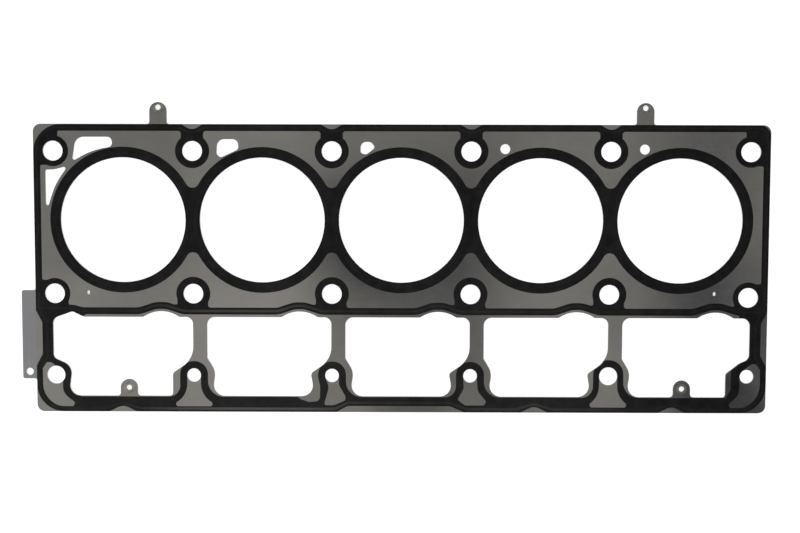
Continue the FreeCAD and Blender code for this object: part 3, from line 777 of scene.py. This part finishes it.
@dataclass(frozen=True)
class PrintedElastomer:
    """Screen-printed black elastomer: satin, faintly woven by the screen, with a soft sheen."""

    name: str
    body: Colour
    worn: Colour
    # colour of the painted highlight on the crests
    lightened: Colour
    roughness: float
    specular: float = 0.04
    # strength of the painted highlight along every crest
    crest_highlight: float = 0.12
    crests: tuple[float, float] = (0.09, 0.18)
    mesh_pitch: float = 0.35
    weave: float = 0.05
    specks: float = 0.9
    mottling: float = 0.6
    scratch_angle: float = 1.1
    shade: float = 0.77
    # wide patches of painted light and shade across the print
    tones: tuple[Tone, ...] = (
        Tone(63, -218, 214, 0.60, 0.59),
        Tone(92, -180, 80, 0.48, 0.41),
        Tone(104, -21, 155, 0.24, 0.25),
        Tone(-185, -41, 94, -0.39, 0.54),
        Tone(-27, 147, 153, 0.33, 0.60),
        Tone(-160, -100, 212, 0.86, 0.24),
    )
    # wide patches of painted glints on the crests
    glint_patches: tuple[Tone, ...] = ()

    def build(self, effects: Effects) -> bpy.types.Material:
        """Builds the material.

        The screen's weave is the product of two sine waves across each other. It roughens the
        surface with the print's own small patches, and dust specks and smudges lift its colour.
        Where the surface stands clear of the film by the heights in `crests`, on lips and beads,
        it is smoother and painted lighter and browner as a highlight, most of all in the wide
        patches of painted glints.

        Args:
            effects: The shared node groups.

        Returns:
            The material.
        """
        finish = Finish(self.name, effects)
        graph = finish.graph
        mottle = finish.effect(effects.mottle, {"Scale": 1.4})
        marks = finish.effect(effects.marks, {"Angle": self.scratch_angle})
        waves = 2 * math.pi / (self.mesh_pitch * MM)
        parts = graph.node("SeparateXYZ", {0: finish.place}).outputs
        weft = graph.math("SINE", graph.math("MULTIPLY", parts["X"], waves))
        warp = graph.math("SINE", graph.math("MULTIPLY", parts["Y"], waves))
        weave = graph.math("MULTIPLY", weft, warp)
        share = graph.math("MULTIPLY", mottle["Clouds"], 0.6)
        share = graph.math("MULTIPLY_ADD", marks["Smudges"], 0.4, share)
        # the print's shade with its wide patches of painted light and shade
        gain = finish.toned(self.shade - self.mottling / 2, self.tones)
        gain = graph.math("MULTIPLY_ADD", mottle["Patches"], self.mottling, gain)
        gain = graph.math("MULTIPLY_ADD", weave, self.weave, gain)
        gain = graph.math("MULTIPLY_ADD", mottle["Specks"], self.specks, gain)
        film = graph.scaled(graph.mixed(share, self.body, self.worn), gain)
        away = graph.math("ABSOLUTE", graph.math("SUBTRACT", parts["Z"], STACK.middle * MM))
        flat = STACK.print_level(Face.UPPER) - STACK.middle
        crest = graph.spread(away, *((flat + clear) * MM for clear in self.crests))
        # painted highlight and glints on the crests of lips and beads
        lightened = graph.math("MULTIPLY", crest, finish.toned(self.crest_highlight, self.glint_patches))
        finish.feed("Base Color", graph.vector("ADD", film, graph.scaled(self.lightened, lightened)))
        finish.feed("Metallic", 0.0)
        finish.feed("Specular IOR Level", self.specular)
        rough = graph.math("MULTIPLY_ADD", mottle["Patches"], 0.12, self.roughness - 0.06)
        rough = graph.math("MULTIPLY_ADD", crest, -0.08, rough)
        rough = graph.math("MULTIPLY_ADD", marks["Scratches"], -0.12, rough)
        finish.feed("Roughness", rough)
        finish.relief(
            (weave, 2.5 * MICRON),
            (mottle["Patches"], 9 * MICRON),
            (marks["Scratches"], 3 * MICRON),
        )
        return finish.material


@dataclass(frozen=True)
class PlatedRim:
    """Yellow-plated steel of the eyelets, rubbed bright where the roll stands proud."""

    name: str
    plate: Colour
    lightened: Colour
    roughness: float
    metallic: float = 0.85
    shade: float = 0.85
    wear: float = 0.3
    tones: tuple[Tone, ...] = ()

    def build(self, effects: Effects) -> bpy.types.Material:
        """Builds the material.

        The plating's tone wanders with its clouds and its wide patches of painted light, and where
        the surface faces up or down and the small patches are high it is worn to brighter metal.

        Args:
            effects: The shared node groups.

        Returns:
            The material.
        """
        finish = Finish(self.name, effects)
        graph = finish.graph
        mottle = finish.effect(effects.mottle, {"Scale": 5.0})
        marks = finish.effect(effects.marks, {"Angle": 0.2})
        edge = finish.effect(effects.edge, {"Normal": finish.normal})
        open_face = graph.math("SUBTRACT", 1.0, edge["Edge"])
        lightened = graph.math("MULTIPLY", open_face, mottle["Patches"])
        # wide patches of painted light on the plating
        gain = finish.toned(self.shade, self.tones)
        gain = graph.math("MULTIPLY_ADD", mottle["Clouds"], self.wear, gain)
        gain = graph.math("MULTIPLY_ADD", marks["Scratches"], self.wear, gain)
        colour = graph.mixed(lightened, self.plate, self.lightened)
        finish.feed("Base Color", graph.scaled(colour, gain))
        finish.feed("Metallic", self.metallic)
        rough = graph.math("MULTIPLY_ADD", mottle["Patches"], 0.14, self.roughness)
        finish.feed("Roughness", rough)
        finish.relief((mottle["Patches"], 10 * MICRON), (marks["Scratches"], -5 * MICRON))
        return finish.material


# The pieces


@dataclass
class LayerPack:
    """The steel sheets and stopper rings of the CAD model, each given its rolled finish."""

    bead_layers: tuple[str, ...] = ("upper_bead_layer", "lower_bead_layer")
    core: str = "core_layer"
    stoppers: tuple[str, ...] = tuple(f"stopper_ring_{number}" for number in BORES)
    spring_steel: RolledSteel = RolledSteel(
        "coated_spring_steel",
        coat=(0.198, 0.188, 0.171),
        coat_other=(0.188, 0.180, 0.164),
        cut=(0.21, 0.206, 0.196),
        # cooler tint of the painted reflection in the darkest painted shade
        cool=(0.94, 0.99, 1.07),
        metallic=0.55,
        roughness=0.46,
        shade=0.826,
        # painted reflection and shade: wide lighter and darker patches across the coat
        tones=(
            Tone(-34, 125, 127, 0.28, 0.56),
            Tone(-22, -5, 64, -0.50),
            Tone(204, -67, 78, -0.24),
            Tone(229, -138, 51, -0.48, 0.43),
            Tone(128, -57, 96, 0.56, 0.30),
            Tone(62, -62, 112, -0.07, 0.80),
            Tone(273, -15, 177, -0.16, 0.70),
            Tone(207, 41, 92, 0.18, 0.59),
            Tone(98, 82, 247, -0.44, 0.47),
            Tone(116, 49, 111, 0.36, 0.07),
            Tone(-146, -59, 83, -0.88, 0.11),
            Tone(-266, 74, 130, -0.20, 0.80),
            Tone(-136, -64, 93, 1.10),
            Tone(6, -145, 42, -0.28, 0.44),
            Tone(280, -80, 45, -0.30, 0.69),
        ),
    )
    core_steel: RolledSteel = RolledSteel(
        "zinced_core_steel",
        coat=(0.165, 0.164, 0.171),
        coat_other=(0.150, 0.150, 0.156),
        cut=(0.25, 0.25, 0.248),
        metallic=0.55,
        roughness=0.42,
        rolling=Rolling.ACROSS_BORES,
        streaks=0.06,
        clouds=0.06,
    )
    stopper_steel: RolledSteel = RolledSteel(
        "bare_stopper_steel",
        coat=(0.34, 0.335, 0.325),
        coat_other=(0.31, 0.305, 0.30),
        cut=(0.42, 0.42, 0.41),
        metallic=0.9,
        roughness=0.34,
        streaks=0.16,
    )

    def dress(self, nodes: dict[str, bpy.types.Object], effects: Effects) -> None:
        """Gives each sheet and ring its finish.

        Args:
            nodes: The CAD objects by name.
            effects: The shared node groups.
        """
        spring = self.spring_steel.build(effects)
        for name in self.bead_layers:
            wear(nodes[name], spring)
        wear(nodes[self.core], self.core_steel.build(effects))
        stopper = self.stopper_steel.build(effects)
        for name in self.stoppers:
            wear(nodes[name], stopper)


def wear(node: bpy.types.Object, material: bpy.types.Material) -> None:
    """Puts a finish in every material slot of a CAD object.

    Args:
        node: The CAD object.
        material: The finish.
    """
    if not node.material_slots:
        node.data.materials.append(material)
    for slot in node.material_slots:
        slot.material = material
    LOG.info("%s: %s", node.name, material.name)


@dataclass
class PrintedSeals:
    """The printed films of the CAD model, with the crowned beads and lips that stand on them."""

    films: tuple[str, ...] = ("upper_perimeter_seal", "lower_perimeter_seal")
    bore_films: tuple[str, ...] = ("upper_bore_seal", "lower_bore_seal")
    elastomer: PrintedElastomer = PrintedElastomer(
        "printed_elastomer",
        body=(0.0067, 0.0065, 0.0065),
        worn=(0.0100, 0.0096, 0.0095),
        lightened=(0.0070, 0.0065, 0.0061),
        roughness=0.5,
        # painted highlight along the lips, with painted glints strongest at the left of the middle
        # row and of the bottom edge
        crest_highlight=0.4,
        glint_patches=(
            Tone(-120, -62, 88, 3.0, 0.15),
            Tone(20, -62, 150, 0.7, 0.5),
            Tone(-108, -138, 98, 7.4, 0.22),
            Tone(98, -138, 70, 1.5, 0.4),
        ),
    )
    bead_elastomer: PrintedElastomer = PrintedElastomer(
        "printed_bead_elastomer",
        body=(0.0067, 0.0065, 0.0066),
        worn=(0.0096, 0.0093, 0.0094),
        # colour of the painted highlight on the bead crests
        lightened=(0.0062, 0.0060, 0.0058),
        roughness=0.5,
    )
    bead: Crown = Crown(half_width=1.62, height=0.2515, fullness=4.0, steps=7)
    main_lip: Crown = Crown(half_width=1.35, height=0.19, fullness=2.6)
    ring_lip: Crown = Crown(half_width=0.95, height=0.09, fullness=2.2, steps=4)
    bead_radius: float = 46.65
    inner_ring: float = 9.5
    outer_ring: float = 8.95
    band: float = 2.4
    narrow_band: float = 2.1
    middle_row: float = -64.4
    hump_rise: float = 3.9
    step: float = 0.9

    def dress(self, nodes: dict[str, bpy.types.Object], effects: Effects) -> None:
        """Gives the films their finish and builds the raised lines on both faces.

        Args:
            nodes: The CAD objects by name.
            effects: The shared node groups.
        """
        around_bores = self.bead_elastomer.build(effects)
        elsewhere = self.elastomer.build(effects)
        for names, material in ((self.bore_films, around_bores), (self.films, elsewhere)):
            for name in names:
                wear(nodes[name], material)
        for face in Face:
            side = face.name.lower()
            self.beads(face).build(f"{side}_bead_crowns", around_bores, "black_elastomer")
            self.lips(face).build(f"{side}_sealing_lips", elsewhere, "black_elastomer")

    def beads(self, face: Face) -> Surface:
        """The crowned line over each bore's embossed bead.

        Args:
            face: The face of the gasket.

        Returns:
            Five closed rings.
        """
        surface = Surface()
        for number in BORES:
            ring = circle_path(STACK.bore(number), 0, self.bead_radius, self.step)
            surface.add_grid(self.bead.along(ring, True, face), wrapped=True)
        return surface

    def lips(self, face: Face) -> Surface:
        """The lips along the edges, above the windows, round the bolts and round the studs.

        Args:
            face: The face of the gasket.

        Returns:
            The closed surfaces of all the lips.
        """
        surface = Surface()
        edge = rounded_path(self.edge_line(), True, self.step)
        surface.add_grid(self.main_lip.along(edge, True, face), wrapped=True)
        middle = rounded_path(self.middle_line(), False, self.step)
        surface.add_grid(self.main_lip.along(middle, False, face), wrapped=False)
        for column in COLUMNS:
            radius = self.outer_ring if column in (COLUMNS[0], COLUMNS[-1]) else self.inner_ring
            drop = STACK.last_bolt_drop if column == COLUMNS[-1] else 0
            for y in (STACK.top_bolts, STACK.low_bolts - drop):
                ring = circle_path(STACK.column(column), y, radius, self.step)
                surface.add_grid(self.ring_lip.along(ring, True, face), wrapped=True)
        for column, line in self.stud_lines().items():
            moved = [(x + STACK.column(column), y + STACK.studs, radius) for x, y, radius in line]
            path = rounded_path(moved, False, self.step)
            surface.add_grid(self.ring_lip.along(path, False, face), wrapped=False)
        return surface

    def middle_line(self) -> list[Corner]:
        """Middle of the print between the bores and the windows, with a hump in every bay.

        Returns:
            The line's corners with their radii.
        """
        row = self.middle_row
        crest = row + self.hump_rise
        first = STACK.column(COLUMNS[0])
        line = [
            (STACK.left_end + self.band, row + 1.8, 0.0),
            (first + 12.5, row + 1.8, 6.0),
            (first + 19.5, row, 6.0),
        ]
        for column in COLUMNS[1:]:
            hump = ((-38.3, row), (-26.5, crest), (-19.3, crest), (-6.9, row))
            line += [(STACK.column(column) + x, y, 14.0) for x, y in hump]
        line.append((STACK.right_end - self.band, row, 0.0))
        return line

    def edge_line(self) -> list[Corner]:
        """Middle of the lip round the whole sheet, clockwise from its top left corner.

        It dips inwards at the inner bolts, steps in beside the end windows, and rises over three
        notches and one long bay of the bottom edge.

        Returns:
            The line's corners with their radii.
        """
        left, right, row = STACK.left_end, STACK.right_end, STACK.studs
        left_step, right_step = STACK.column(COLUMNS[0]) - 5.5, STACK.column(COLUMNS[-1]) + 5.5
        top = STACK.top_edge - self.band
        low = STACK.bottom_edge + 2.3
        notch = STACK.bottom_edge + 6.2
        line = [(left + self.band, top, 15.1)]
        for column in COLUMNS[1:-1]:
            dip = ((-9.5, top), (-3, top - 3), (3, top - 3), (9.5, top))
            line += [(STACK.column(column) + x, y, 5.0) for x, y in dip]
        line += [
            (right - self.band, top, 5.8),
            (right - self.band, row + 47, 3.0),
            (right_step, row + 38, 3.0),
            (right_step, row + 13, 3.0),
            (right - self.narrow_band, row + 4, 3.0),
            (right - self.narrow_band, low, 17.4),
        ]
        rises = [
            [(x + 13, low, 6.0), (x, notch, 7.0), (x - 13, low, 6.0)]
            for x in (STACK.bore(bay) + place for bay, place in ((5, -3.8), (4, -3.5), (1, -1.7)))
        ]
        long_bay = [(46.0, low), (35.0, low + 4.4), (-38.0, low + 4.4), (-46.8, low)]
        line += [*rises[0], *rises[1], *((x, y, 5.0) for x, y in long_bay), *rises[2]]
        line += [
            (left + self.narrow_band, low, 17.4),
            (left + self.narrow_band, row + 4, 3.0),
            (left_step, row + 13, 3.0),
            (left_step, row + 38, 3.0),
            (left + self.band, row + 47, 3.0),
        ]
        return line

    def stud_lines(self) -> dict[int, list[Corner]]:
        """Middle of the print that arches over each inner stud hole, from the hole's centre.

        Returns:
            The corners of each line with their radii, by the number of its column.
        """
        return {
            2: [(-17, -17.2, 0), (-11.6, -15.4, 5), (-7.2, -7, 8), (-7.2, 7.2, 6.8),
                (7.2, 7.2, 6.8), (7.2, -7, 8), (11.6, -15.4, 5), (17, -17.2, 0)],
            3: [(-9.3, -20.5, 0), (-7.2, -16, 4), (-5.6, -9, 6), (-7.2, -1, 8), (-7.2, 7.4, 6.8),
                (7.2, 7.4, 6.8), (7.2, -4, 8), (12.2, -14.4, 6), (18, -17.6, 0)],
            4: [(-15, -17, 0), (-10.6, -14.8, 4), (-7.1, -5.5, 8), (-7.2, 7.3, 6.8),
                (7.4, 7.3, 6.8), (7.8, -5, 8), (12.3, -14.8, 6), (18, -17.2, 0)],
            5: [(-15.6, -16.6, 0), (-11.4, -14, 4), (-8.6, -7, 8), (-8.6, 8.8, 8.2),
                (8.7, 8.8, 8.2), (8.8, -7, 8), (12, -14.2, 4), (16.2, -16.8, 0)],
        }


@dataclass
class ClinchEyelets:
    """The four hollow rivets that hold the sheets together, with their rims rolled over."""

    bore: float = 1.95
    wall: float = 0.35
    rim: float = 3.68
    rim_height: float = 0.28
    flare: float = 0.32
    edge: float = 0.62
    dish: float = 0.05
    places: tuple[tuple[float, float], ...] = (
        (-170.75, 79.0), (170.75, 79.0), (-193.2, -119.15), (199.1, -119.15),
    )
    around: int = 64
    waves: int = 5
    wave_height: float = 0.05
    plating: PlatedRim = PlatedRim(
        "plated_eyelet_steel",
        plate=(0.107, 0.103, 0.083),
        lightened=(0.172, 0.167, 0.140),
        roughness=0.30,
        # painted highlight on the lower left eyelet
        tones=(Tone(-193, -117, 30, 0.38, 0.5),),
    )

    def section(self) -> np.ndarray:
        """The wall's closed section, as (radius, height).

        Each rim is a rounded lip: a quarter-round flare leads from the bore to a shallow dish, and
        an elliptic edge leads down from that to the sheet. The lower half mirrors the upper one.

        Returns:
            The section points.
        """
        top = STACK.crest + self.rim_height
        turn = np.linspace(0, math.pi / 2, 7)
        flare = self.bore + self.flare * (1 - np.cos(turn)), top - self.flare * (1 - np.sin(turn))
        inner = self.bore + self.flare
        outer = self.rim - self.edge
        share = np.linspace(0, 1, 6)[1:-1]
        dish = inner + (outer - inner) * share, top - self.dish * np.sin(math.pi * share)
        edge = outer + self.edge * np.sin(turn), STACK.crest + self.rim_height * np.cos(turn)
        barrel = self.bore + self.wall
        inside = [barrel + 0.02, barrel], [STACK.crest, STACK.crest - 0.02]
        start = [self.bore], [STACK.middle + 0.1]
        upper = np.concatenate([start, flare, dish, edge, inside], axis=1).T
        lower = upper[::-1] * np.array([1, -1]) + np.array([0, 2 * STACK.middle])
        return np.concatenate([upper, lower])

    def build(self, effects: Effects) -> bpy.types.Object:
        """Turns the section round each eyelet's axis and lets it stand for the CAD node.

        A point of the section at radius r goes to (r cos a, r sin a), and the outer part of the
        rim swells and shrinks by a few hundredths round the axis, as a rolled rim does.

        Args:
            effects: The shared node groups.

        Returns:
            The piece.
        """
        section = self.section()
        angles = np.linspace(0, 2 * math.pi, self.around, endpoint=False)
        inner = self.bore + self.flare
        outer = np.clip((section[:, 0] - inner) / (self.rim - inner), 0, 1)
        surface = Surface()
        for number, (x, y) in enumerate(self.places):
            swell = self.wave_height * (np.cos(self.waves * angles + 1.7 * number) - 1) / 2
            radius = section[None, :, 0] + swell[:, None] * outer[None, :]
            grid = np.empty((self.around, len(section), 3))
            grid[..., 0] = x + radius * np.cos(angles)[:, None]
            grid[..., 1] = y + STACK.row + radius * np.sin(angles)[:, None]
            grid[..., 2] = section[None, :, 1]
            surface.add_grid(grid, wrapped=True)
        piece = surface.build("rolled_eyelets", self.plating.build(effects), "plated_steel")
        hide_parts("clinch_eyelets")
        return piece


# The studio


@dataclass(frozen=True)
class Lamp:
    """A square soft lamp that faces the gasket, in metres and watts."""

    name: str
    place: tuple[float, float, float]
    side: float
    power: float

    def build(self) -> None:
        """Adds the lamp."""
        data = bpy.data.lights.new(self.name, "AREA")
        data.size = self.side
        data.energy = self.power
        lamp = linked(self.name, data)
        lamp.location = self.place
        lamp.rotation_euler = (-Vector(self.place)).to_track_quat("-Z", "Y").to_euler()


@dataclass
class Studio:
    """Camera, lamps, backdrop and floor."""

    eye: tuple[float, float, float] = (0.00409, 0.04501, 0.98518)
    aim: tuple[float, float, float] = (-0.00088, -0.03063, 0.0014)
    roll: float = 0.00229
    lens: float = 62.92
    floor_half: float = 4.0
    floor_drop: float = 2e-5
    floor_glow: float = 0.45
    ambient: float = 0.55
    lamps: tuple[Lamp, ...] = (
        Lamp("soft_left", (-1.5, -0.5, 1.6), 1.6, 19.4),
        Lamp("soft_right", (1.6, 0.3, 1.7), 1.6, 13.2),
        Lamp("soft_back", (0.1, 1.9, 1.5), 1.8, 12.3),
    )

    def build(self) -> None:
        """Sets up the studio."""
        self.camera()
        self.world()
        self.floor()
        for lamp in self.lamps:
            lamp.build()

    def camera(self) -> None:
        """Places the camera where the photograph's vanishing lines put it."""
        data = bpy.data.cameras.new("camera")
        data.lens = self.lens
        data.sensor_width = 36.0
        data.clip_start = 0.01
        camera = linked("camera", data)
        eye = Vector(self.eye)
        back = (eye - Vector(self.aim)).normalized()
        right = Vector((0.0, 1.0, 0.0)).cross(back).normalized()
        up = back.cross(right)
        turn = Matrix((right, up, back)).transposed() @ Matrix.Rotation(self.roll, 3, "Z")
        camera.matrix_world = Matrix.Translation(eye) @ turn.to_4x4()
        bpy.context.scene.camera = camera

    def world(self) -> None:
        """A plain room, white where the camera looks at it and dimmer as a light."""
        world = bpy.data.worlds.new("studio")
        bpy.context.scene.world = world
        world.use_nodes = True
        graph = Graph(world.node_tree)
        backdrop = world.node_tree.nodes["Background"].inputs
        path = graph.node("LightPath").outputs
        inputs = {0: path["Is Camera Ray"], 2: self.ambient, 3: 1.0}
        graph.feed(backdrop["Strength"], graph.node("Mix", inputs, data_type="FLOAT").outputs[0])
        graph.feed(backdrop["Color"], (1, 1, 1, 1))

    def floor(self) -> None:
        """A wide pale floor just under the gasket, lit up a little for the camera and glints."""
        half = self.floor_half
        corners = ((-half, -half), (half, -half), (half, half), (-half, half))
        mesh = bpy.data.meshes.new("studio_floor")
        mesh.from_pydata([(x, y, -self.floor_drop) for x, y in corners], [], [(0, 1, 2, 3)])
        material = bpy.data.materials.new("pale_floor")
        material.use_nodes = True
        graph = Graph(material.node_tree)
        shader = material.node_tree.nodes["Principled BSDF"].inputs
        path = graph.node("LightPath").outputs
        seen = graph.math("MAXIMUM", path["Is Camera Ray"], path["Is Glossy Ray"])
        graph.feed(shader["Base Color"], (0.82, 0.82, 0.82, 1))
        graph.feed(shader["Roughness"], 0.9)
        graph.feed(shader["Specular IOR Level"], 0.1)
        graph.feed(shader["Emission Color"], (1, 1, 1, 1))
        graph.feed(shader["Emission Strength"], graph.math("MULTIPLY", seen, self.floor_glow))
        mesh.materials.append(material)
        linked("studio_floor", mesh)


def main() -> None:
    """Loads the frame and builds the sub-assemblies in order."""
    logging.basicConfig(level=logging.INFO, format="%(name)s: %(message)s")
    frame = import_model()
    nodes = frame["nodes"]
    bpy.context.scene.view_settings.view_transform = "Standard"
    effects = Effects()
    Studio().build()
    LayerPack().dress(nodes, effects)
    PrintedSeals().dress(nodes, effects)
    ClinchEyelets().build(effects)


if __name__ == "__main__":
    main()
